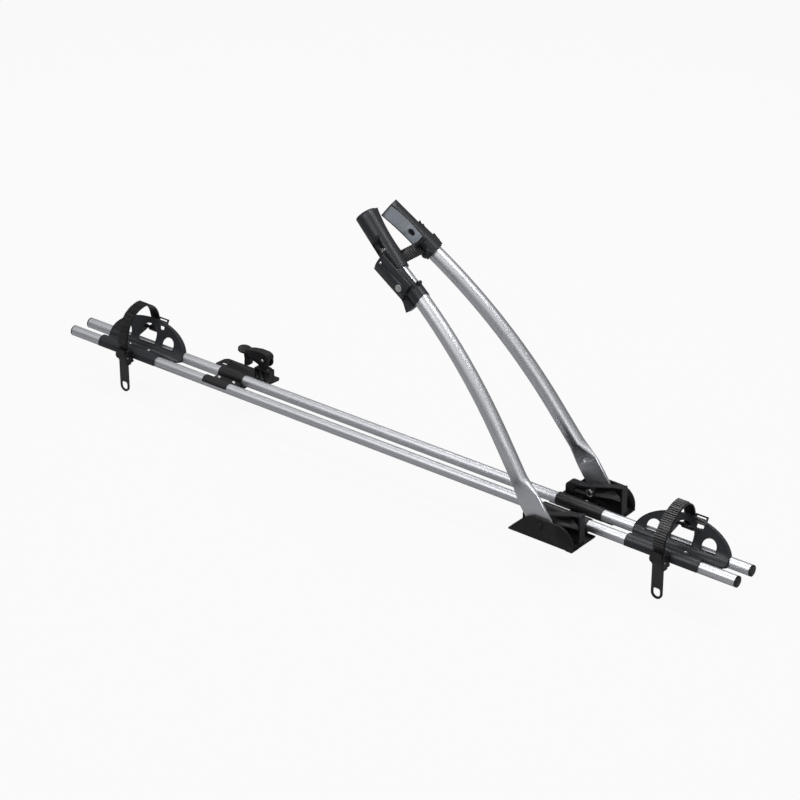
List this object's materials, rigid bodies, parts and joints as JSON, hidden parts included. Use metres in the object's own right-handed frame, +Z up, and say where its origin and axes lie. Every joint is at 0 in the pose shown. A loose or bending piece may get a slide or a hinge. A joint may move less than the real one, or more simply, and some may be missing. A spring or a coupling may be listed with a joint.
{
  "type": "roof mounted bike carrier",
  "caption": "Roof mounted bike carrier: a pair of rail tubes with a folding frame holder, a toothed belt between its jaws, and a wheel holder with a ladder strap at each end.",
  "frame": {"origin": "centre of the four bolt slots of the front bracket, on the plane of the roof bars and below the pivot of the frame holder", "axes": "+X along the rails towards the front wheel holder, +Y across the rails to the far side, +Z up"},
  "size_m": [1.495, 0.1926, 0.5275],
  "materials": {
    "aluminium_tube": "drawn tube, satin anodised",
    "black_steel": "black powder coat",
    "zinc_steel": "zinc plated",
    "black_plastic": "moulded, fine grain",
    "charcoal_plastic": "moulded, soft sheen",
    "pad_rubber": "soft grey pad",
    "strap_plastic": "flexible ribbed strap"
  },
  "bodies": {
    "root": {"rail_near": "aluminium_tube", "rail_far": "aluminium_tube", "rail_end_plugs": "black_plastic", "front_bracket_near": "black_steel", "front_bracket_far": "black_steel", "front_cross_plate": "black_steel", "front_saddle_near": "black_plastic", "front_saddle_far": "black_plastic", "saddle_screws": "zinc_steel", "bar_hooks": "black_plastic", "pivot_bolts": "black_steel", "pivot_nuts": "zinc_steel", "near_pivot_bush": "zinc_steel"},
    "near_holder": {"near_arm": "aluminium_tube", "near_jaw": "charcoal_plastic", "near_jaw_pad": "pad_rubber", "near_jaw_screw": "black_steel", "jaw_belt": "strap_plastic", "ratchet_housing": "charcoal_plastic", "lever_pin": "zinc_steel", "pawl_pin": "zinc_steel"},
    "far_bush": {"far_pivot_bush": "zinc_steel"},
    "far_holder": {"far_arm": "aluminium_tube", "far_jaw": "charcoal_plastic", "far_jaw_pad": "pad_rubber", "far_jaw_screw": "black_steel", "belt_clip": "black_plastic"},
    "ratchet_lever": {"ratchet_lever": "charcoal_plastic"},
    "lock": {"lock_cylinder": "zinc_steel"},
    "pawl": {"ratchet_pawl": "zinc_steel"},
    "rear_mount": {"rear_plate": "black_steel", "rear_saddle": "black_plastic", "rear_screws": "zinc_steel", "cam_tower": "black_plastic", "cam_bolt": "zinc_steel", "cam_pin": "zinc_steel"},
    "cam": {"cam_lever": "black_plastic"},
    "front_holder": {"front_tray": "charcoal_plastic", "front_clamp": "black_plastic", "front_tray_screws": "zinc_steel", "front_strap": "strap_plastic", "front_buckle": "black_plastic", "front_buckle_pin": "zinc_steel"},
    "rear_holder": {"rear_tray": "charcoal_plastic", "rear_clamp": "black_plastic", "rear_tray_screws": "zinc_steel", "rear_strap": "strap_plastic", "rear_buckle": "black_plastic", "rear_buckle_pin": "zinc_steel"},
    "front_buckle_lever": {"front_buckle_lever": "black_plastic"},
    "rear_buckle_lever": {"rear_buckle_lever": "black_plastic"}
  },
  "joints": [
    {"name": "fold", "type": "hinge", "parent": "root", "child": "near_holder", "pos_m": [0, -0.0845, 0.027], "axis": [0, -1, 0], "range_deg": [-15, 38]},
    {"name": "far_fold", "type": "hinge", "parent": "root", "child": "far_bush", "pos_m": [0, 0.0845, 0.027], "axis": [0, -1, 0], "range_deg": [-15, 38]},
    {"name": "spread", "type": "hinge", "parent": "far_bush", "child": "far_holder", "pos_m": [0, 0.0845, 0.027], "axis": [-0.8059, 0, -0.592], "range_deg": [0, 2]},
    {"name": "ratchet_release", "type": "hinge", "parent": "near_holder", "child": "ratchet_lever", "pos_m": [-0.35889, -0.06131, 0.39452], "axis": [0.0516, 0.9962, -0.0702], "range_deg": [0, 30]},
    {"name": "lock_turn", "type": "hinge", "parent": "ratchet_lever", "child": "lock", "pos_m": [-0.31613, -0.06782, 0.36204], "axis": [-0.0516, -0.9962, 0.0702], "range_deg": [0, 90]},
    {"name": "pawl_turn", "type": "hinge", "parent": "near_holder", "child": "pawl", "pos_m": [-0.36494, -0.04786, 0.41002], "axis": [-0.6389, -0.0211, -0.769], "range_deg": [0, 12]},
    {"name": "rear_mount_slide", "type": "slide", "parent": "root", "child": "rear_mount", "axis": [1, 0, 0], "range_m": [-0.025, 0.06]},
    {"name": "cam_turn", "type": "hinge", "parent": "rear_mount", "child": "cam", "pos_m": [-0.742, 0.066, 0.046], "axis": [0, 1, 0], "range_deg": [0, 75]},
    {"name": "front_holder_slide", "type": "slide", "parent": "root", "child": "front_holder", "axis": [1, 0, 0], "range_m": [-0.03, 0.035]},
    {"name": "rear_holder_slide", "type": "slide", "parent": "root", "child": "rear_holder", "axis": [1, 0, 0], "range_m": [-0.035, 0.015]},
    {"name": "front_buckle_turn", "type": "hinge", "parent": "front_holder", "child": "front_buckle_lever", "pos_m": [0.2045, -0.0484, 0.017], "axis": [1, 0, 0], "range_deg": [0, 60]},
    {"name": "rear_buckle_turn", "type": "hinge", "parent": "rear_holder", "child": "rear_buckle_lever", "pos_m": [-1.0005, -0.0484, 0.017], "axis": [1, 0, 0], "range_deg": [0, 60]}
  ],
  "couplings": [
    {"joint": "far_fold", "follows": "fold", "ratio": 1},
    {"joint": "pawl_turn", "follows": "ratchet_release", "ratio": 0.35}
  ]
}
